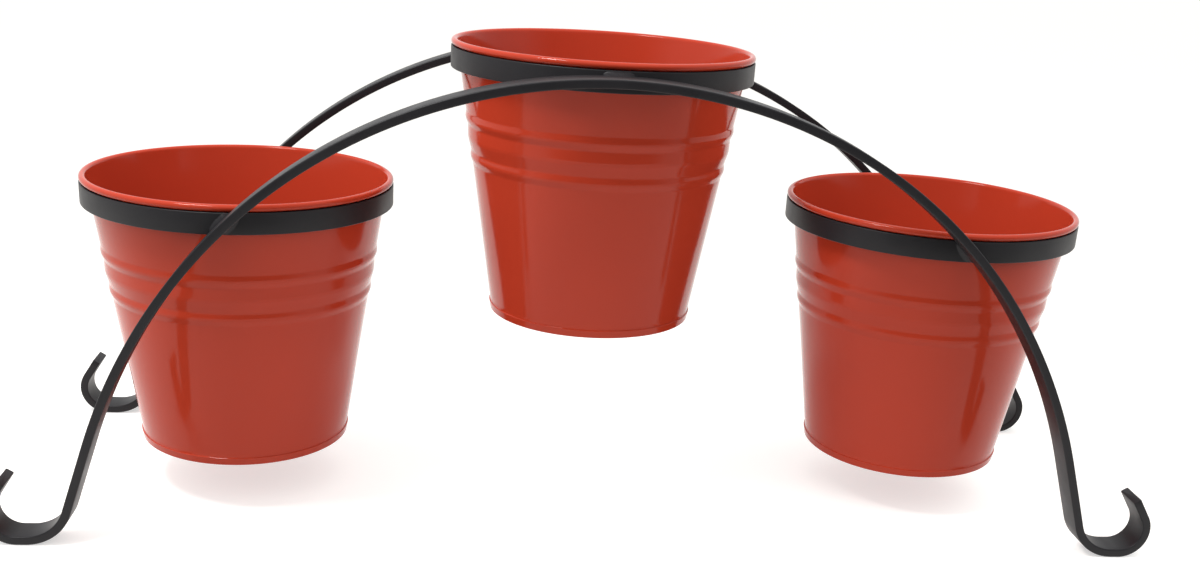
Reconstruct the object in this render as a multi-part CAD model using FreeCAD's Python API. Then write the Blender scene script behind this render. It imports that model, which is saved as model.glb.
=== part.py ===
import FreeCAD, Part
import math
import os

# Plant stand: two scrolled flat-bar arches carry three welded band rings, and a tapered sheet-metal
# bucket hangs by its rolled rim in each ring. Millimetres, +Z up, origin on the floor under the middle.

# Flat bar of both arches
bar_width = 16.0
bar_thickness = 4.2

# Centre line of an arch, from the crown out and down to one scrolled foot
crown_radius = 248.0
crown_angle = 54.0
leg_radius = 275.0
leg_angle = 72.0
leg_length = 36.0
heel_radius = 20.5
foot_flat = 4.0
toe_radius = 13.0
toe_turn = 122.0
tip_length = 11.5

# Band rings: the side ones placed by their angle on the crown and raised above the bar's centre line,
# the centre one dropped a little below it
ring_outer_radius = 76.8
ring_thickness = 2.2
ring_height = 10.4
side_ring_angle = 47.0
side_ring_rise = 4.8
centre_ring_drop = 1.2

# Fillet welds between the rings and the arches
weld_gap = 1.0
weld_leg = 4.0
weld_length = 18.0
weld_edge_margin = 0.3
weld_clearance = 0.15

# Bucket wall, and the rim rolled outwards to hang on the ring's top edge
sheet_thickness = 0.5
bucket_height = 139.0
bucket_bottom_radius = 52.3
rim_roll_diameter = 3.4
rim_roll_flats = 6
rim_seat_clearance = 0.25

# Three pressed ridges round the wall, measured down from the middle of the rim; the middle one is broader
first_ridge_drop = 37.3
ridge_pitch = 9.9
ridge_height = 0.7
ridge_width = 6.6
ridge_crown_width = 1.2
broad_ridge_width = 12.6
broad_ridge_crown_width = 1.6

# Lapped side seam at the rear of a bucket, which just clears the ring
seam_width = 6.0
seam_end_margin = 0.6
seam_ring_clearance = 0.5

# Foot hem, and the bottom pan inside it
hem_height = 4.0
hem_thickness = 0.6
pan_recess = 4.5
pan_clearance = 0.08

origin = FreeCAD.Vector(0.0, 0.0, 0.0)
outward = FreeCAD.Vector(0.0, 1.0, 0.0)
upward = FreeCAD.Vector(0.0, 0.0, 1.0)


def in_plane(x, z):
    """Point of the XZ plane."""
    return FreeCAD.Vector(x, 0.0, z)


def unit(angle):
    """Direction in the XZ plane, in degrees from +X towards +Z."""
    return in_plane(math.cos(math.radians(angle)), math.sin(math.radians(angle)))


def segment(first, last):
    """Straight edge between two points."""
    return Part.LineSegment(first, last).toShape()


def walk(start, heading, steps):
    """Where a chain of straights and tangent arcs ends, with its heading there.

    A step is (None, length) for a straight and (radius, turn) for an arc, left turns positive.
    """
    point = start
    for radius, amount in steps:
        if radius is None:
            point = point + unit(heading) * amount
        else:
            swing = math.copysign(radius, amount)
            centre = point + unit(heading + 90.0) * swing
            heading = heading + amount
            point = centre - unit(heading + 90.0) * swing
    return point, heading


def chain_edges(start, heading, steps, offset):
    """Edges of a chain of straights and arcs, shifted sideways to its left."""
    edges = []
    point = start
    for radius, amount in steps:
        middle, middle_heading = walk(point, heading, [(radius, amount / 2.0)])
        finish, finish_heading = walk(point, heading, [(radius, amount)])
        first = point + unit(heading + 90.0) * offset
        last = finish + unit(finish_heading + 90.0) * offset
        if radius is None:
            edges.append(segment(first, last))
        else:
            halfway = middle + unit(middle_heading + 90.0) * offset
            edges.append(Part.Arc(first, halfway, last).toShape())
        point = finish
        heading = finish_heading
    return edges


def strip_face(start, heading, steps, thickness):
    """Closed face of even thickness along a chain of straights and arcs."""
    near = chain_edges(start, heading, steps, thickness / 2.0)
    far = chain_edges(start, heading, steps, -thickness / 2.0)
    finish, finish_heading = walk(start, heading, steps)
    half_start = unit(heading + 90.0) * (thickness / 2.0)
    half_finish = unit(finish_heading + 90.0) * (thickness / 2.0)
    caps = [
        segment(start + half_start, start - half_start),
        segment(finish + half_finish, finish - half_finish),
    ]
    return Part.Face(Part.Wire(Part.__sortEdges__(near + far + caps)))


def polygon_face(corners):
    """Flat face with straight sides."""
    return Part.Face(Part.makePolygon(corners + corners[:1]))


# Arch: the half from the shoulder to a tip is repeated on both sides of the crown, as one unbroken bar

half_arch = [
    (leg_radius, crown_angle - leg_angle),
    (None, leg_length),
    (heel_radius, leg_angle),
    (None, foot_flat),
    (toe_radius, toe_turn),
    (None, tip_length),
]
half_crown = (crown_radius, -crown_angle)
arch_steps = half_arch[::-1] + [(crown_radius, -2.0 * crown_angle)] + half_arch
foot_below_crown, _ = walk(origin, 0.0, [half_crown] + half_arch[:3])
crown_height = bar_thickness / 2.0 - foot_below_crown.z
right_tip, tip_heading = walk(in_plane(0.0, crown_height), 0.0, [half_crown] + half_arch)
left_tip = in_plane(-right_tip.x, right_tip.z)
bar_near_side = ring_outer_radius + weld_gap


def arch_bar(thickness, near_side, width):
    """Solid of an arch's shape on the rear side, from near_side outwards."""
    face = strip_face(left_tip, -tip_heading, arch_steps, thickness)
    face.translate(outward * near_side)
    return face.extrude(outward * width)


def front_of(shape):
    """Mirror image of a rear piece on the front side."""
    return shape.mirror(origin, outward)


def on_crown(angle):
    """Point of the crown's centre line, in degrees from its top towards +X."""
    return in_plane(0.0, crown_height - crown_radius) + unit(90.0 - angle) * crown_radius


# Rings, and the welds where the bars cross their bands

ring_inner_radius = ring_outer_radius - ring_thickness
crossing_cosine = math.cos(math.radians(side_ring_angle)) + side_ring_rise / crown_radius
side_crossing_angle = math.degrees(math.acos(crossing_cosine))
side_lift = upward * side_ring_rise

# For each ring, the middle of its band and the angle on the crown where the bar is level with it
ring_places = {
    "left": (on_crown(-side_ring_angle) + side_lift, -side_crossing_angle),
    "centre": (on_crown(0.0) - upward * centre_ring_drop, 0.0),
    "right": (on_crown(side_ring_angle) + side_lift, side_crossing_angle),
}


def drum(middle, radius, height):
    """Upright cylinder centred on a point."""
    return Part.makeCylinder(radius, height, middle - upward * (height / 2.0))


def band_ring(middle):
    """Flat band hoop round an upright axis."""
    return drum(middle, ring_outer_radius, ring_height).cut(drum(middle, ring_inner_radius, ring_height))


def fillet_weld(middle, crossing_angle):
    """Weld on the rear side that fills the corners between a bar's edge and a ring's band."""
    along = unit(-crossing_angle)
    across = unit(90.0 - crossing_angle)
    toe = across * (bar_thickness / 2.0 + weld_leg)
    throat = across * (bar_thickness / 2.0)
    start = on_crown(crossing_angle) - along * (weld_length / 2.0)
    root = start + outward * ring_inner_radius
    crest = start + outward * (bar_near_side + weld_leg)
    bead = polygon_face([root + toe, crest + throat, crest - throat, root - toe]).extrude(along * weld_length)
    bar = arch_bar(bar_thickness + 2.0 * weld_clearance, bar_near_side - weld_clearance, bar_width)
    band = drum(middle, ring_outer_radius + weld_clearance, ring_height)
    reach = drum(middle, bar_near_side + bar_width, ring_height - 2.0 * weld_edge_margin)
    return bead.common(reach).cut(band).cut(bar)


# Bucket, drawn as half sections with levels measured from the ring's top edge

rim_roll_radius = rim_roll_diameter / 2.0
rim_level = rim_seat_clearance + rim_roll_radius
foot_level = rim_level + rim_roll_radius - bucket_height
hem_level = foot_level + hem_height
wall_top_radius = ring_inner_radius - seam_ring_clearance - sheet_thickness
wall_slope = (wall_top_radius - bucket_bottom_radius) / -foot_level
wall_angle = math.atan(wall_slope)
narrow_ridge = (ridge_width, ridge_crown_width)
broad_ridge = (broad_ridge_width, broad_ridge_crown_width)


def wall_point(level, proud):
    """Point at a level, standing proud of the wall's outer face by a distance square to it."""
    return in_plane(wall_top_radius + wall_slope * level + proud / math.cos(wall_angle), level)


def wall_corners(top, foot, proud):
    """Corners down the wall and over its pressed ridges, standing proud of the outer face."""
    corners = [wall_point(top, proud)]
    for index, (width, crown_width) in enumerate([narrow_ridge, broad_ridge, narrow_ridge]):
        middle = rim_level - first_ridge_drop - index * ridge_pitch
        corners.append(wall_point(middle + width / 2.0, proud))
        corners.append(wall_point(middle + crown_width / 2.0, proud + ridge_height))
        corners.append(wall_point(middle - crown_width / 2.0, proud + ridge_height))
        corners.append(wall_point(middle - width / 2.0, proud))
    corners.append(wall_point(foot, proud))
    return corners


def rim_corners():
    """Corners of the rolled rim, from the wall's inner face over the top to its underside."""
    middle = wall_point(rim_level, rim_roll_radius - sheet_thickness)
    first = 180.0 - math.degrees(wall_angle)
    step = (first + 90.0) / rim_roll_flats
    return [middle + unit(first - step * index) * rim_roll_radius for index in range(rim_roll_flats + 1)]


def turned(corners, angle):
    """Solid swept round the bucket's axis from a half section."""
    return polygon_face(corners).revolve(origin, upward, angle)


def side_seam():
    """Second layer of sheet over the lapped joint of the wall, at the rear."""
    top = rim_seat_clearance - seam_end_margin
    foot = hem_level + seam_end_margin
    under = wall_corners(top, foot, 0.0)
    over = wall_corners(top, foot, sheet_thickness)
    angle = math.degrees(seam_width / wall_top_radius)
    strip = turned(under + over[::-1], angle)
    strip.rotate(origin, upward, 90.0 - angle / 2.0)
    return strip


def bucket_shell():
    """Tapered wall with its ridges, rolled rim, foot hem and side seam."""
    corners = rim_corners()
    corners.extend(wall_corners(rim_seat_clearance, hem_level, 0.0))
    corners.append(wall_point(hem_level, hem_thickness))
    corners.append(wall_point(foot_level, hem_thickness))
    corners.append(wall_point(foot_level, -sheet_thickness))
    return turned(corners, 360.0).fuse(side_seam())


def bucket_bottom():
    """Pressed pan set up inside the wall, with its flange down to the foot."""
    face = -sheet_thickness - pan_clearance
    pan_level = foot_level + pan_recess
    corners = [
        in_plane(0.0, pan_level),
        wall_point(pan_level, face),
        wall_point(foot_level, face),
        wall_point(foot_level, face - sheet_thickness),
        wall_point(pan_level - sheet_thickness, face - sheet_thickness),
        in_plane(0.0, pan_level - sheet_thickness),
    ]
    return turned(corners, 360.0)


def export(shape, node):
    """Write one piece under its name."""
    shape.exportStep(os.path.join("parts", node + ".step"))


os.makedirs("parts", exist_ok=True)
rear_arch = arch_bar(bar_thickness, bar_near_side, bar_width)
export(rear_arch, "rear_arch")
export(front_of(rear_arch), "front_arch")
shell = bucket_shell()
bottom = bucket_bottom()
for side, (place, crossing_angle) in ring_places.items():
    export(band_ring(place), side + "_ring")
    weld = fillet_weld(place, crossing_angle)
    export(weld, side + "_rear_weld")
    export(front_of(weld), side + "_front_weld")
    seat = place + upward * (ring_height / 2.0)
    export(shell.translated(seat), side + "_bucket_shell")
    export(bottom.translated(seat), side + "_bucket_bottom")
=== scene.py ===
"""Looks of an arched plant stand: a black flat-bar frame and three red enamelled buckets."""
import logging
import math
from dataclasses import dataclass, field
from enum import Enum
from typing import List, Optional, Sequence, Tuple

import bmesh
import bpy
from mathutils import Matrix, Vector


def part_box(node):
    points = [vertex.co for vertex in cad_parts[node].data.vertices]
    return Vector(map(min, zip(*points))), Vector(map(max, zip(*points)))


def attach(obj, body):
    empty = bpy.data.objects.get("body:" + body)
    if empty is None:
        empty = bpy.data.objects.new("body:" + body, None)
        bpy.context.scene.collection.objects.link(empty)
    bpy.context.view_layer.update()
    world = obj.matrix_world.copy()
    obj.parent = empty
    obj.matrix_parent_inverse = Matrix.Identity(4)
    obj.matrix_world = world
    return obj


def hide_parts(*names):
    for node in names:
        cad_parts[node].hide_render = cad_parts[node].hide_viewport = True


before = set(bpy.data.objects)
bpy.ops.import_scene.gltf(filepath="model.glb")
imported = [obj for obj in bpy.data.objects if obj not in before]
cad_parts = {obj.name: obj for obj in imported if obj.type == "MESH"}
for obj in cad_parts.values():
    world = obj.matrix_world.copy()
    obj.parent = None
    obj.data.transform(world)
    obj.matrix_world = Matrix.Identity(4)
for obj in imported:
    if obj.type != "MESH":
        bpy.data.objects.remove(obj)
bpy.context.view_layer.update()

LOG = logging.getLogger("plant_stand")
MM = 0.001
IMAGE_WIDTH = 1200
IMAGE_HEIGHT = 583

# The part of its range that a noise mostly fills.
NOISE_LOW = 0.3
NOISE_HIGH = 0.7

# Arc steps round each corner of a bar or band, and the distance within which points are joined.
CORNER_STEPS = 4
MERGE_DISTANCE = 1e-7

# How far the sheet's waviness is turned from one bucket to the next, in radians.
WAVE_SHIFT = 1.3

Socket = bpy.types.NodeSocket
Colour = Tuple[float, float, float, float]
Loop = List[Vector]
Step = Tuple[Optional[float], float]
LinePoint = Tuple[float, float, float]
SectionPoint = Tuple[float, float, float]

WHITE: Colour = (1.0, 1.0, 1.0, 1.0)


class Side(Enum):
    """The three places along the arches."""

    LEFT = "left"
    CENTRE = "centre"
    RIGHT = "right"


class Row(Enum):
    """The two long sides of the stand, by the sign of their Y."""

    FRONT = -1.0
    REAR = 1.0


class Slot(Enum):
    """The record's material slots."""

    BLACK_PAINT = "black_paint"
    RED_ENAMEL = "red_enamel"


class NodeBoard:
    """A node tree that is filled node by node."""

    def __init__(self, tree: bpy.types.NodeTree) -> None:
        """Empty the tree and keep it."""
        self.tree = tree
        self.tree.nodes.clear()

    def add(self, kind: str, **settings: object) -> bpy.types.Node:
        """Add a node.

        Args:
            kind: Blender's name of the node type.
            settings: Properties of the node, by name.

        Returns:
            The new node.
        """
        node = self.tree.nodes.new(kind)
        for name, value in settings.items():
            setattr(node, name, value)
        return node

    def link(self, source: Socket, target: Socket) -> None:
        """Join two sockets."""
        self.tree.links.new(source, target)

    def combine(self, operation: str, first: Socket, second: Socket) -> Socket:
        """Make one value of two.

        Args:
            operation: Blender's name of the sum to do.
            first: The first value.
            second: The second value.

        Returns:
            The result.
        """
        node = self.add("ShaderNodeMath", operation=operation)
        self.link(first, node.inputs[0])
        self.link(second, node.inputs[1])
        return node.outputs["Value"]

    def noise(self, coords: Socket, scale: float, detail: float) -> Socket:
        """Add a noise texture.

        Args:
            coords: Place on the surface, in metres.
            scale: Lumps per metre.
            detail: Octaves of finer noise.

        Returns:
            The noise's height, from 0 to 1.
        """
        node = self.add("ShaderNodeTexNoise")
        node.inputs["Scale"].default_value = scale
        node.inputs["Detail"].default_value = detail
        self.link(coords, node.inputs["Vector"])
        return node.outputs["Fac"]

    def ramp(self, value: Socket, start: float, end: float, low: float, high: float) -> Socket:
        """Map a value from one range to another, held at both ends.

        Args:
            value: The value to map.
            start: Value that gives the low result.
            end: Value that gives the high result.
            low: Result at the start.
            high: Result at the end.

        Returns:
            The mapped value.
        """
        node = self.add("ShaderNodeMapRange")
        node.inputs["From Min"].default_value = start
        node.inputs["From Max"].default_value = end
        node.inputs["To Min"].default_value = low
        node.inputs["To Max"].default_value = high
        self.link(value, node.inputs["Value"])
        return node.outputs["Result"]

    def spread(self, height: Socket, low: float, high: float) -> Socket:
        """Map a noise's height to a range that it then fills."""
        return self.ramp(height, NOISE_LOW, NOISE_HIGH, low, high)

    def eye(self) -> Socket:
        """Add a mask for the rays that see.

        Returns:
            1 for sight, mirror and see-through rays, and 0 for rays that only carry light.
        """
        path = self.add("ShaderNodeLightPath")
        mask = path.outputs["Is Camera Ray"]
        for name in ("Is Glossy Ray", "Is Transmission Ray"):
            mask = self.combine("MAXIMUM", mask, path.outputs[name])
        return mask

    def bump(self, height: Socket, distance: float, under: Optional[Socket] = None) -> Socket:
        """Add a bump.

        Args:
            height: Height of the surface, from 0 to 1.
            distance: Height of a full bump, in metres.
            under: Normal of a bump below this one.

        Returns:
            The bumped normal.
        """
        node = self.add("ShaderNodeBump")
        node.inputs["Strength"].default_value = 1.0
        node.inputs["Distance"].default_value = distance
        self.link(height, node.inputs["Height"])
        if under is not None:
            self.link(under, node.inputs["Normal"])
        return node.outputs["Normal"]


@dataclass(frozen=True)
class Paint:
    """A coat of paint on steel, with an orange-peel skin and slow changes of tone and gloss."""

    name: str
    colour: Colour
    dull_colour: Colour
    roughness_low: float
    roughness_high: float
    peel_scale: float
    peel_depth: float
    wave_scale: float
    wave_depth: float
    specular: float
    tone_detail: float = 3.0
    patch_ratio: float = 2.7
    patch_detail: float = 4.0
    wave_detail: float = 1.0
    peel_detail: float = 2.0

    def material(self) -> bpy.types.Material:
        """Make the paint as a material.

        Returns:
            The new material.
        """
        material = bpy.data.materials.new(self.name)
        material.use_nodes = True
        board = NodeBoard(material.node_tree)
        coords = board.add("ShaderNodeTexCoord").outputs["Object"]
        tone = board.noise(coords, self.wave_scale, self.tone_detail)
        mix = board.add("ShaderNodeMix", data_type="RGBA")
        mix.inputs["A"].default_value = self.dull_colour
        mix.inputs["B"].default_value = self.colour
        board.link(board.spread(tone, 0.0, 1.0), mix.inputs["Factor"])
        shader = board.add("ShaderNodeBsdfPrincipled")
        board.link(mix.outputs["Result"], shader.inputs["Base Color"])
        patches = board.noise(coords, self.wave_scale * self.patch_ratio, self.patch_detail)
        roughness = board.spread(patches, self.roughness_low, self.roughness_high)
        board.link(roughness, shader.inputs["Roughness"])
        shader.inputs["Specular IOR Level"].default_value = self.specular
        waves = board.bump(board.noise(coords, self.wave_scale, self.wave_detail), self.wave_depth)
        peel = board.bump(board.noise(coords, self.peel_scale, self.peel_detail), self.peel_depth, waves)
        board.link(peel, shader.inputs["Normal"])
        out = board.add("ShaderNodeOutputMaterial")
        board.link(shader.outputs["BSDF"], out.inputs["Surface"])
        return material


BLACK_PAINT = Paint(
    name="black_satin_paint",
    colour=(0.0165, 0.0158, 0.0178, 1.0),
    dull_colour=(0.0126, 0.0119, 0.0136, 1.0),
    roughness_low=0.38,
    roughness_high=0.48,
    peel_scale=1400.0,
    peel_depth=0.00003,
    wave_scale=26.0,
    wave_depth=0.0002,
    specular=0.215,
)

RED_ENAMEL = Paint(
    name="red_gloss_enamel",
    colour=(0.43, 0.0405, 0.0175, 1.0),
    dull_colour=(0.41, 0.0385, 0.0165, 1.0),
    roughness_low=0.09,
    roughness_high=0.14,
    peel_scale=520.0,
    peel_depth=0.000006,
    wave_scale=17.0,
    wave_depth=0.0002,
    specular=0.165,
)


@dataclass(frozen=True)
class FloorSheet:
    """A plain pale floor, white to the eye and in reflections, which lightens the shade round the stand."""

    name: str = "pale_floor"
    paper: Colour = (0.66, 0.645, 0.615, 1.0)
    glow: float = 0.55
    glow_far: float = 0.19
    fade_start: float = 0.14
    fade_end: float = 0.34
    fade_stretch: float = 2.2
    grain_scale: float = 300.0
    grain_depth: float = 0.00002
    grain_detail: float = 2.0

    def material(self) -> bpy.types.Material:
        """Make the floor as a material.

        Returns:
            The new material.
        """
        material = bpy.data.materials.new(self.name)
        material.use_nodes = True
        board = NodeBoard(material.node_tree)
        coords = board.add("ShaderNodeTexCoord").outputs["Object"]
        diffuse = board.add("ShaderNodeBsdfDiffuse")
        diffuse.inputs["Color"].default_value = self.paper
        grain = board.bump(board.noise(coords, self.grain_scale, self.grain_detail), self.grain_depth)
        board.link(grain, diffuse.inputs["Normal"])
        squeeze = board.add("ShaderNodeMapping")
        squeeze.inputs["Scale"].default_value = (1.0 / self.fade_stretch, 1.0, 1.0)
        board.link(coords, squeeze.inputs["Vector"])
        away = board.add("ShaderNodeVectorMath", operation="LENGTH")
        board.link(squeeze.outputs["Vector"], away.inputs[0])
        level = board.ramp(away.outputs["Value"], self.fade_start, self.fade_end, self.glow, self.glow_far)
        glow = board.add("ShaderNodeEmission")
        board.link(board.combine("MULTIPLY", board.eye(), level), glow.inputs["Strength"])
        both = board.add("ShaderNodeAddShader")
        board.link(diffuse.outputs["BSDF"], both.inputs[0])
        board.link(glow.outputs["Emission"], both.inputs[1])
        out = board.add("ShaderNodeOutputMaterial")
        board.link(both.outputs["Shader"], out.inputs["Surface"])
        return material


def skin(name: str, loops: Sequence[Loop], closed: bool, crease: float = 34.0) -> bpy.types.Object:
    """Skin a run of closed loops into one mesh object.

    Args:
        name: Name of the piece.
        loops: Cross-sections with the same number of points each, in metres.
        closed: Whether the last loop joins the first; open runs get an end face on both ends.
        crease: Edges that bend by more than this many degrees stay crisp.

    Returns:
        The new object, linked to the scene.
    """
    mesh = bpy.data.meshes.new(name)
    work = bmesh.new()
    rows = [[work.verts.new(point) for point in loop] for loop in loops]
    count = len(rows[0])
    last = len(rows) if closed else len(rows) - 1
    for i in range(last):
        near = rows[i]
        far = rows[(i + 1) % len(rows)]
        for j in range(count):
            k = (j + 1) % count
            work.faces.new((near[j], near[k], far[k], far[j]))
    if not closed:
        work.faces.new(rows[0])
        work.faces.new(rows[-1][::-1])
    bmesh.ops.remove_doubles(work, verts=work.verts, dist=MERGE_DISTANCE)
    bmesh.ops.recalc_face_normals(work, faces=work.faces)
    for face in work.faces:
        face.smooth = True
    work.to_mesh(mesh)
    work.free()
    mesh.set_sharp_from_angle(angle=math.radians(crease))
    piece = bpy.data.objects.new(name, mesh)
    bpy.context.scene.collection.objects.link(piece)
    return piece


def rounded_section(width: float, height: float, radius: float) -> List[Tuple[float, float]]:
    """Outline of a rectangle with rounded corners, centred on its middle.

    Args:
        width: Size along the first axis.
        height: Size along the second axis.
        radius: Corner radius.

    Returns:
        Points round the outline.
    """
    outline = []
    for corner in range(4):
        across = (width / 2.0 - radius) * (1.0 if corner in (0, 3) else -1.0)
        up = (height / 2.0 - radius) * (1.0 if corner in (0, 1) else -1.0)
        for step in range(CORNER_STEPS + 1):
            angle = math.radians(90.0 * corner + 90.0 * step / CORNER_STEPS)
            outline.append((across + radius * math.cos(angle), up + radius * math.sin(angle)))
    return outline


def dress(piece: bpy.types.Object, material: bpy.types.Material, slot: Slot, body: str, *nodes: str) -> None:
    """Give a piece its finish, the body it moves with and the nodes it stands for.

    Args:
        piece: The new piece.
        material: Its finish.
        slot: The record's slot of that finish; not used.
        body: Body that the piece moves with.
        nodes: Nodes that the piece stands for.
    """
    piece.data.materials.append(material)
    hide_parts(*nodes)
    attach(piece, body)
    LOG.info("%s: %d faces, rides on %s", piece.name, len(piece.data.polygons), body)


@dataclass
class Stand:
    """The welded frame: two scrolled arches, three band rings and six welds. Sizes in millimetres."""

    bar_width: float = 16.0
    bar_thickness: float = 4.2
    bar_edge: float = 0.7
    crown_radius: float = 248.0
    crown_angle: float = 54.0
    leg_radius: float = 275.0
    leg_angle: float = 72.0
    leg_length: float = 36.0
    heel_radius: float = 20.5
    foot_flat: float = 4.0
    toe_radius: float = 13.0
    toe_turn: float = 122.0
    tip_length: float = 11.5
    line_step: float = 5.0
    bend_step: float = 4.0
    # Draw-in of the bar's section near a cut end, and its distance from that end.
    end_easing: Tuple[Tuple[float, float], ...] = ((0.35, 0.0), (0.1, 0.1), (0.0, 0.35))
    ring_radius: float = 76.8
    ring_thickness: float = 2.2
    ring_edge: float = 0.45
    ring_facets: int = 256
    weld_bar_leg: float = 3.6
    weld_ring_leg: float = 2.6
    weld_length: float = 15.0
    weld_margin: float = 0.35
    weld_steps: int = 40
    weld_arc_steps: int = 6
    weld_crease: float = 60.0
    # Shares and powers of the weld's shape: size at its ends, swell along it, hollow across it.
    weld_tip: float = 0.06
    weld_swell: float = 0.6
    weld_hollow: float = 0.8
    # How deep the weld's edges go into the ring and the bar.
    weld_ring_depth: float = 0.2
    weld_bar_depth: float = 0.15
    ripple: float = 0.02
    ripple_fine: float = 4.1
    ripple_slow: float = 1.7
    ripple_shift: float = 7.0
    body: str = "stand"

    def half_arch(self) -> List[Step]:
        """List the bends of half an arch.

        Returns:
            Steps from the crown to a tip: (None, length) straight, (radius, degrees) bent, left positive.
        """
        return [
            (self.crown_radius, -self.crown_angle),
            (self.leg_radius, self.crown_angle - self.leg_angle),
            (None, self.leg_length),
            (self.heel_radius, self.leg_angle),
            (None, self.foot_flat),
            (self.toe_radius, self.toe_turn),
            (None, self.tip_length),
        ]

    def half_line(self) -> List[LinePoint]:
        """Centre line from the crown to the right tip.

        Returns:
            Points as x, z and heading in degrees, with the crown at height 0.
        """
        x, z, heading = 0.0, 0.0, 0.0
        line = [(x, z, heading)]
        for radius, amount in self.half_arch():
            length = amount if radius is None else abs(math.radians(amount)) * radius
            turn = 0.0 if radius is None else abs(amount)
            count = max(2, math.ceil(length / self.line_step), math.ceil(turn / self.bend_step))
            for _ in range(count):
                bend = 0.0 if radius is None else amount / count
                chord = length / count
                if radius is not None:
                    chord = 2.0 * radius * abs(math.sin(math.radians(bend / 2.0)))
                heading += bend / 2.0
                x += chord * math.cos(math.radians(heading))
                z += chord * math.sin(math.radians(heading))
                heading += bend / 2.0
                line.append((x, z, heading))
        return line

    def crown_height(self) -> float:
        """Height of the centre line at the crown, from the lowest point of the feet."""
        return self.bar_thickness / 2.0 - min(z for _, z, _ in self.half_line())

    def full_line(self) -> List[LinePoint]:
        """Centre line from the left tip to the right tip.

        Returns:
            Points as x, z and heading in degrees, at their height over the floor.
        """
        lift = self.crown_height()
        right = [(x, z + lift, heading) for x, z, heading in self.half_line()]
        left = [(-x, z, -heading) for x, z, heading in right[:0:-1]]
        return left + right

    def bar_loop(self, x: float, z: float, heading: float, y: float, shrink: float) -> Loop:
        """Cross-section of the bar at a point of the centre line.

        Args:
            x: Place along the stand.
            z: Height.
            heading: Direction of the centre line in degrees.
            y: Middle of the bar's width.
            shrink: How far the section is drawn in, for the worn edge of a cut end.

        Returns:
            The section's points in metres.
        """
        thickness = self.bar_thickness - 2.0 * shrink
        width = self.bar_width - 2.0 * shrink
        side = math.radians(heading + 90.0)
        loop = []
        for off, across in rounded_section(thickness, width, self.bar_edge):
            loop.append(Vector((x + off * math.cos(side), y + across, z + off * math.sin(side))) * MM)
        return loop

    def arch(self, node: str) -> bpy.types.Object:
        """Build one arch with its two scrolled feet.

        Args:
            node: Node whose place it takes.

        Returns:
            The arch.
        """
        low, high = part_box(node)
        y = (low.y + high.y) / 2.0 / MM
        line = self.full_line()
        ends = []
        for sign, (x, z, heading) in ((-1.0, line[0]), (1.0, line[-1])):
            slope = math.radians(heading)
            cut = []
            for shrink, back in self.end_easing:
                cut_x = x - sign * back * math.cos(slope)
                cut_z = z - sign * back * math.sin(slope)
                cut.append(self.bar_loop(cut_x, cut_z, heading, y, shrink))
            ends.append(cut)
        middle = [self.bar_loop(x, z, heading, y, 0.0) for x, z, heading in line[1:-1]]
        run = ends[0] + middle + ends[1][::-1]
        return skin(node.replace("_arch", "_arch_bar"), run, closed=False)

    def ring(self, side: Side) -> bpy.types.Object:
        """Build one band ring.

        Args:
            side: Place along the arches.

        Returns:
            The ring.
        """
        node = side.value + "_ring"
        low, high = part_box(node)
        centre = (low + high) / 2.0 / MM
        outline = rounded_section(self.ring_thickness, (high.z - low.z) / MM, self.ring_edge)
        middle = self.ring_radius - self.ring_thickness / 2.0
        loops = []
        for facet in range(self.ring_facets):
            angle = 2.0 * math.pi * facet / self.ring_facets
            loop = []
            for off, up in outline:
                radius = middle + off
                point = (radius * math.cos(angle), radius * math.sin(angle), up)
                loop.append((centre + Vector(point)) * MM)
            loops.append(loop)
        return skin(node + "_band", loops, closed=True)

    def weld_size(self, share: float, angle: float, row: Row) -> float:
        """Size of a weld at a place along it.

        Args:
            share: Place along the weld, from 0 to 1.
            angle: Place of the weld on the crown, in radians.
            row: Side of the stand.

        Returns:
            The share of the full size, with slight ripples.
        """
        run = (share - 0.5) * self.weld_length
        taper = self.weld_tip + (1.0 - self.weld_tip) * math.sin(math.pi * share) ** self.weld_swell
        fine = math.sin(self.ripple_fine * run + self.ripple_shift * angle)
        slow = math.sin(self.ripple_slow * run + row.value)
        return taper * (1.0 + self.ripple * fine + self.ripple * slow)

    def weld(self, side: Side, row: Row) -> bpy.types.Object:
        """Build the two fillets of weld between a ring's band and a bar's edge.

        Args:
            side: Place along the arches.
            row: Side of the stand.

        Returns:
            The weld.
        """
        node = "_".join((side.value, row.name.lower(), "weld"))
        low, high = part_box(node)
        ring_low, ring_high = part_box(side.value + "_ring")
        ring_x = (ring_low.x + ring_high.x) / 2.0 / MM
        floor = ring_low.z / MM + self.weld_margin
        ceiling = ring_high.z / MM - self.weld_margin
        cross_x = (low.x + high.x) / 2.0 / MM
        angle = math.asin(cross_x / self.crown_radius)
        along = Vector((math.cos(angle), 0.0, -math.sin(angle)))
        up = Vector((math.sin(angle), 0.0, math.cos(angle)))
        out = Vector((0.0, row.value, 0.0))
        hub = self.crown_height() - self.crown_radius
        point = Vector((self.crown_radius * math.sin(angle), 0.0, hub + self.crown_radius * math.cos(angle)))
        loops = []
        for index in range(self.weld_steps + 1):
            share = index / self.weld_steps
            size = self.weld_size(share, angle, row)
            here = point + along * ((share - 0.5) * self.weld_length)
            face = math.sqrt(self.ring_radius**2 - (here.x - ring_x) ** 2)
            loop = []
            for sign in (1.0, -1.0):
                arc = []
                for turn in range(self.weld_arc_steps + 1):
                    bend = math.radians(90.0 * turn / self.weld_arc_steps)
                    reach = self.weld_bar_leg * size * (1.0 - math.sin(bend)) ** self.weld_hollow
                    rise = self.weld_ring_leg * size * (1.0 - math.cos(bend)) ** self.weld_hollow
                    sunk = self.weld_bar_depth if turn == 0 else 0.0
                    height = sign * (self.bar_thickness / 2.0 + rise - sunk)
                    spot = here + out * (face - self.weld_ring_depth + reach) + up * height
                    spot.z = min(max(spot.z, floor), ceiling)
                    arc.append(spot)
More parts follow.
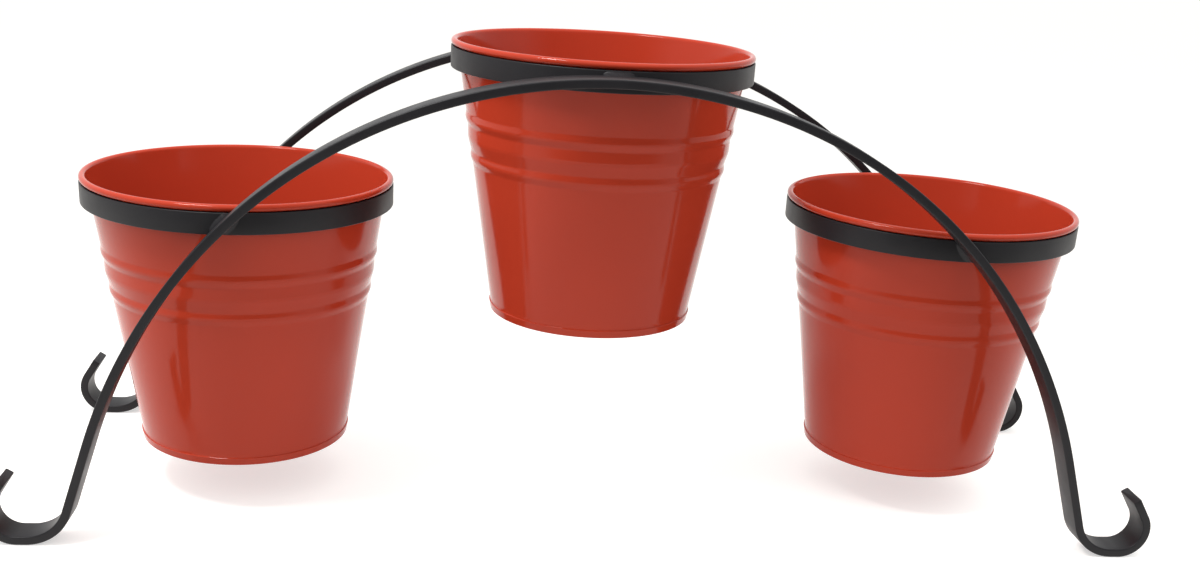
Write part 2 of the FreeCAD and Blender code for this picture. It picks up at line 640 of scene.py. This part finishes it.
                loop.extend(arc[::-1] if sign > 0 else arc)
            loops.append([spot * MM for spot in loop])
        return skin(node + "_bead", loops, closed=False, crease=self.weld_crease)

    def build(self) -> None:
        """Build and dress the whole frame."""
        paint = BLACK_PAINT.material()
        for row in Row:
            node = row.name.lower() + "_arch"
            dress(self.arch(node), paint, Slot.BLACK_PAINT, self.body, node)
        for side in Side:
            dress(self.ring(side), paint, Slot.BLACK_PAINT, self.body, side.value + "_ring")
            for row in Row:
                node = "_".join((side.value, row.name.lower(), "weld"))
                dress(self.weld(side, row), paint, Slot.BLACK_PAINT, self.body, node)


@dataclass
class Bucket:
    """A tapered sheet-metal bucket with a rolled rim, pressed ridges and a foot hem.

    Sizes are in millimetres, and levels are measured from the top edge of the bucket's ring.
    """

    side: Side
    phase: float
    sheet: float = 0.5
    height: float = 139.0
    top_radius: float = 73.6
    foot_radius: float = 52.3
    rim_radius: float = 1.68
    rim_level: float = 1.95
    rim_reach: float = 1.7
    rim_end: float = -137.0
    rim_steps: int = 26
    wall_top: float = -0.4
    inner_drop: float = 0.6
    inner_foot_gap: float = 1.0
    first_ridge_drop: float = 37.3
    ridge_pitch: float = 9.9
    # Width at the wall and width of the crown of each ridge, from the top down.
    ridges: Tuple[Tuple[float, float], ...] = ((6.6, 1.2), (12.6, 1.6), (6.6, 1.2))
    ridge_height: float = 0.7
    ridge_round: float = 0.45
    ridge_samples: int = 9
    ridge_margin: float = 1.0
    fine_step: float = 0.35
    coarse_step: float = 3.0
    last_step: float = 0.3
    hem_height: float = 4.0
    hem_thickness: float = 0.6
    hem_round: float = 0.25
    hem_lip: float = 0.1
    hem_drop: float = 0.05
    pan_recess: float = 4.5
    pan_gap: float = 0.08
    pan_round: float = 0.8
    pan_ease_in: float = 0.2
    pan_ease_down: float = 0.25
    pan_inner_drop: float = 1.1
    seam_width: float = 6.0
    seam_edge: float = 0.35
    # Share of the sheet's thickness that the lap stands out, its top level and its gap above the hem.
    seam_rise: float = 0.8
    seam_top: float = -0.5
    seam_foot_gap: float = 1.0
    facets: int = 240
    # Waviness of the thin sheet: depth, waves round the wall, drift with the level, fade at both ends.
    wobble: float = 0.08
    wide_waves: float = 3.0
    narrow_waves: float = 5.0
    narrow_share: float = 0.6
    wave_drift: float = 28.0
    wave_fade: float = 30.0
    foot_level: float = field(init=False)
    hem_level: float = field(init=False)
    slope: float = field(init=False)
    taper: float = field(init=False)
    seam_half: float = field(init=False)
    seat: Vector = field(init=False)

    def __post_init__(self) -> None:
        """Work out the levels, the taper, the seam's half angle and the place in the ring."""
        self.foot_level = self.rim_level + self.rim_reach - self.height
        self.hem_level = self.foot_level + self.hem_height
        self.slope = (self.top_radius - self.foot_radius) / -self.foot_level
        self.taper = math.atan(self.slope)
        self.seam_half = self.seam_width / 2.0 / self.top_radius
        ring_low, ring_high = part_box(self.side.value + "_ring")
        self.seat = Vector(((ring_low.x + ring_high.x) / 2.0, 0.0, ring_high.z)) / MM

    def wall(self, level: float, proud: float) -> Tuple[float, float]:
        """Point at a level, standing proud of the wall's outer face."""
        return self.top_radius + self.slope * level + proud / math.cos(self.taper), level

    def ridge(self, level: float) -> float:
        """How far the pressed ridges stand out, with their corners eased.

        Args:
            level: Level on the wall.

        Returns:
            The distance from the plain wall.
        """
        total = 0.0
        for sample in range(self.ridge_samples):
            here = level + self.ridge_round * (2.0 * sample / (self.ridge_samples - 1) - 1.0)
            for index, (width, crown) in enumerate(self.ridges):
                off = abs(here - (self.rim_level - self.first_ridge_drop - index * self.ridge_pitch))
                total += max(0.0, min(1.0, (width / 2.0 - off) / (width / 2.0 - crown / 2.0)))
        return self.ridge_height * total / self.ridge_samples

    def levels(self, top: float, foot: float) -> List[float]:
        """Levels down the wall, close together over the ridges.

        Args:
            top: Highest level.
            foot: Lowest level.

        Returns:
            The levels from the top down.
        """
        marks = [top]
        ridge_top = self.rim_level - self.first_ridge_drop + self.ridge_pitch / 2.0
        ridge_foot = ridge_top - len(self.ridges) * self.ridge_pitch
        level = top
        while level > foot + self.last_step:
            fine = ridge_foot < level <= ridge_top + self.ridge_margin
            level = max(foot, level - (self.fine_step if fine else self.coarse_step))
            marks.append(level)
        return marks

    def profile(self) -> List[SectionPoint]:
        """Closed half section of the shell.

        Returns:
            Points as radius, level and share of the lapped seam that lies on them.
        """
        points = []
        bead_radius, bead_level = self.wall(self.rim_level, self.rim_radius - self.sheet)
        first = 180.0 - math.degrees(self.taper)
        last = self.rim_end - math.degrees(self.taper)
        for step in range(self.rim_steps + 1):
            angle = math.radians(first + (last - first) * step / self.rim_steps)
            radius = bead_radius + self.rim_radius * math.cos(angle)
            level = bead_level + self.rim_radius * math.sin(angle)
            points.append((radius, level, 0.0))
        seam_foot = self.hem_level + self.seam_foot_gap
        for level in self.levels(self.wall_top, self.hem_level + self.hem_round):
            lap = 1.0 if seam_foot < level < self.seam_top else 0.0
            points.append(self.wall(level, self.ridge(level)) + (lap,))
        shoulder = self.hem_thickness - self.hem_round
        hem = (
            (self.hem_level, self.hem_lip),
            (self.hem_level - self.hem_drop, shoulder),
            (self.hem_level - self.hem_round, self.hem_thickness),
            (self.foot_level + self.hem_round, self.hem_thickness),
            (self.foot_level, shoulder),
            (self.foot_level, -self.sheet),
        )
        points += [self.wall(level, proud) + (0.0,) for level, proud in hem]
        inner = self.levels(self.rim_level - self.inner_drop, self.foot_level + self.inner_foot_gap)
        for level in inner[::-1]:
            points.append(self.wall(level, self.ridge(level) - self.sheet) + (0.0,))
        return points

    def pan_section(self) -> List[SectionPoint]:
        """Closed half section of the bottom pan with its flange.

        Returns:
            Points as radius, level and share of the lapped seam, which is 0 on the pan.
        """
        face = -self.sheet - self.pan_gap
        back = face - self.sheet
        top = self.foot_level + self.pan_recess
        under = top - self.sheet
        flange = (
            (top, face - self.pan_round),
            (top - self.pan_ease_down, face - self.pan_ease_in),
            (top - self.pan_round, face),
            (self.foot_level, face),
            (self.foot_level, back),
            (top - self.pan_inner_drop, back),
            (under, back - self.pan_round),
        )
        points = [(0.0, top)] + [self.wall(level, proud) for level, proud in flange] + [(0.0, under)]
        return [point + (0.0,) for point in points]

    def angles(self) -> List[float]:
        """Angles round the bucket, with extra ones at the edges of the rear seam.

        Returns:
            The angles in order, in radians.
        """
        half = self.seam_half
        edge = self.seam_edge / self.top_radius
        rear = math.pi / 2.0
        marks = [2.0 * math.pi * index / self.facets for index in range(self.facets)]
        marks = [mark for mark in marks if abs(mark - rear) > half + edge * 2.0]
        marks += [rear + sign * (half + extra) for sign in (-1.0, 1.0) for extra in (0.0, edge)]
        marks += [rear - half / 2.0, rear, rear + half / 2.0]
        return sorted(marks)

    def lap(self, angle: float) -> float:
        """Share of the seam's second layer at an angle, 1 on the lap and 0 off it."""
        reach = self.seam_half + self.seam_edge / self.top_radius / 2.0
        return 1.0 if abs(angle - math.pi / 2.0) < reach else 0.0

    def unevenness(self, angle: float, level: float) -> float:
        """Slight hand-made waviness of the thin sheet, fading out at the rim and the foot.

        Args:
            angle: Angle round the bucket, in radians.
            level: Level on the wall.

        Returns:
            How far the wall stands out from its true cone.
        """
        rim_share = min(1.0, max(0.0, -level / self.wave_fade))
        foot_share = min(1.0, max(0.0, (level - self.foot_level) / self.wave_fade))
        wide = math.sin(self.wide_waves * angle + self.phase)
        narrow = math.sin(self.narrow_waves * angle - 2.0 * self.phase + level / self.wave_drift)
        return self.wobble * (rim_share * foot_share) * (wide + self.narrow_share * narrow)

    def lathe(self, name: str, section: Sequence[SectionPoint]) -> bpy.types.Object:
        """Turn a half section round the bucket's axis.

        Args:
            name: Name of the piece.
            section: Points as radius, level and share of the seam.

        Returns:
            The turned piece in its ring.
        """
        loops = []
        for angle in self.angles():
            layer = self.lap(angle) * self.sheet * self.seam_rise
            loop = []
            for radius, level, lap in section:
                if radius > 0.0:
                    radius += lap * layer + self.unevenness(angle, level)
                point = Vector((radius * math.cos(angle), radius * math.sin(angle), level))
                loop.append((self.seat + point) * MM)
            loops.append(loop)
        return skin(name, loops, closed=True)

    def build(self, enamel: bpy.types.Material) -> None:
        """Build and dress the bucket.

        Args:
            enamel: Finish of the shell and the pan.
        """
        body = self.side.value + "_bucket"
        shell = self.lathe(body + "_wall", self.profile())
        dress(shell, enamel, Slot.RED_ENAMEL, body, body + "_shell")
        pan = self.lathe(body + "_pan", self.pan_section())
        dress(pan, enamel, Slot.RED_ENAMEL, body, body + "_bottom")


@dataclass(frozen=True)
class Camera:
    """The photograph's viewpoint: pixels for the lens, millimetres for the place, radians for the turns."""

    focal: float = 1338.5029
    centre_x: float = 612.8213
    centre_y: float = 357.9550
    place: Tuple[float, float, float] = (-68.6185, -687.7466, 306.0059)
    yaw: float = 0.12094
    pitch: float = 0.32867
    roll: float = -0.06674
    sensor: float = 36.0
    near_clip: float = 10.0

    def build(self) -> None:
        """Add the camera and make it the scene's own."""
        ahead = Vector((
            math.sin(self.yaw) * math.cos(self.pitch),
            math.cos(self.yaw) * math.cos(self.pitch),
            -math.sin(self.pitch),
        ))
        level = Vector((math.cos(self.yaw), -math.sin(self.yaw), 0.0))
        down = ahead.cross(level)
        right = math.cos(self.roll) * level + math.sin(self.roll) * down
        below = -math.sin(self.roll) * level + math.cos(self.roll) * down
        lens = bpy.data.cameras.new("camera")
        lens.sensor_fit = "HORIZONTAL"
        lens.sensor_width = self.sensor
        lens.lens = self.focal * self.sensor / IMAGE_WIDTH
        lens.shift_x = (IMAGE_WIDTH / 2.0 - self.centre_x) / IMAGE_WIDTH
        lens.shift_y = (self.centre_y - IMAGE_HEIGHT / 2.0) / IMAGE_WIDTH
        lens.clip_start = self.near_clip * MM
        camera = bpy.data.objects.new("camera", lens)
        turn = Matrix((right, -below, -ahead)).transposed().to_4x4()
        camera.matrix_world = Matrix.Translation(Vector(self.place) * MM) @ turn
        bpy.context.scene.collection.objects.link(camera)
        bpy.context.scene.camera = camera


@dataclass(frozen=True)
class Studio:
    """Plain soft light, a white surround with a dimmer room in front, and a pale floor. Sizes in metres."""

    floor_size: float = 24.0
    floor_front: float = -0.58
    floor_drop: float = 0.0003
    fill: float = 1.37
    front_dim: float = 0.9
    # Y and Z of the directions between which the dim room fades in.
    room_ahead: Tuple[float, float] = (-0.4, -0.75)
    room_height: Tuple[float, float] = (0.6, 0.25)
    key_power: float = 8.5
    key_size: float = 0.3
    key_place: Tuple[float, float, float] = (-0.5, -0.3, 1.05)
    key_aim: Tuple[float, float, float] = (0.0, 0.0, 0.12)

    def surround(self) -> None:
        """Make the world: white to the eye, with a dimmer room in front for light and reflections."""
        world = bpy.data.worlds.new("studio")
        bpy.context.scene.world = world
        world.use_nodes = True
        board = NodeBoard(world.node_tree)
        level = board.ramp(board.eye(), 0.0, 1.0, self.fill, 1.0)
        split = board.add("ShaderNodeSeparateXYZ")
        board.link(board.add("ShaderNodeTexCoord").outputs["Generated"], split.inputs["Vector"])
        ahead = board.ramp(split.outputs["Y"], *self.room_ahead, 0.0, 1.0)
        low = board.ramp(split.outputs["Z"], *self.room_height, 0.0, 1.0)
        room = board.combine("MULTIPLY", ahead, low)
        path = board.add("ShaderNodeLightPath")
        unseen = board.ramp(path.outputs["Is Camera Ray"], 0.0, 1.0, 1.0, 0.0)
        dim = board.combine("MULTIPLY", room, unseen)
        share = board.ramp(dim, 0.0, 1.0, 1.0, 1.0 - self.front_dim)
        sky = board.add("ShaderNodeBackground")
        sky.inputs["Color"].default_value = WHITE
        board.link(board.combine("MULTIPLY", level, share), sky.inputs["Strength"])
        out = board.add("ShaderNodeOutputWorld")
        board.link(sky.outputs["Background"], out.inputs["Surface"])

    def floor(self) -> None:
        """Lay the floor under the feet."""
        half = self.floor_size / 2.0
        near = self.floor_front
        corners = [(-half, near, 0.0), (half, near, 0.0), (half, half, 0.0), (-half, half, 0.0)]
        mesh = bpy.data.meshes.new("floor")
        mesh.from_pydata(corners, [], [(0, 1, 2, 3)])
        floor = bpy.data.objects.new("floor", mesh)
        floor.location.z = -self.floor_drop
        floor.data.materials.append(FloorSheet().material())
        bpy.context.scene.collection.objects.link(floor)

    def lamp(self) -> None:
        """Hang the soft key light."""
        light = bpy.data.lights.new("key", "AREA")
        light.energy = self.key_power
        light.shape = "DISK"
        light.size = self.key_size
        key = bpy.data.objects.new("key", light)
        key.location = self.key_place
        aim = Vector(self.key_aim) - Vector(self.key_place)
        key.rotation_euler = aim.to_track_quat("-Z", "Y").to_euler()
        bpy.context.scene.collection.objects.link(key)

    def build(self) -> None:
        """Set up the studio."""
        bpy.context.scene.view_settings.view_transform = "Standard"
        self.surround()
        self.floor()
        self.lamp()


def main() -> None:
    """Build the stand, its buckets and the studio."""
    logging.basicConfig(level=logging.INFO, format="%(name)s: %(message)s")
    Stand().build()
    enamel = RED_ENAMEL.material()
    for index, side in enumerate(Side):
        Bucket(side, WAVE_SHIFT * index).build(enamel)
    Studio().build()
    Camera().build()


if __name__ == "__main__":
    main()
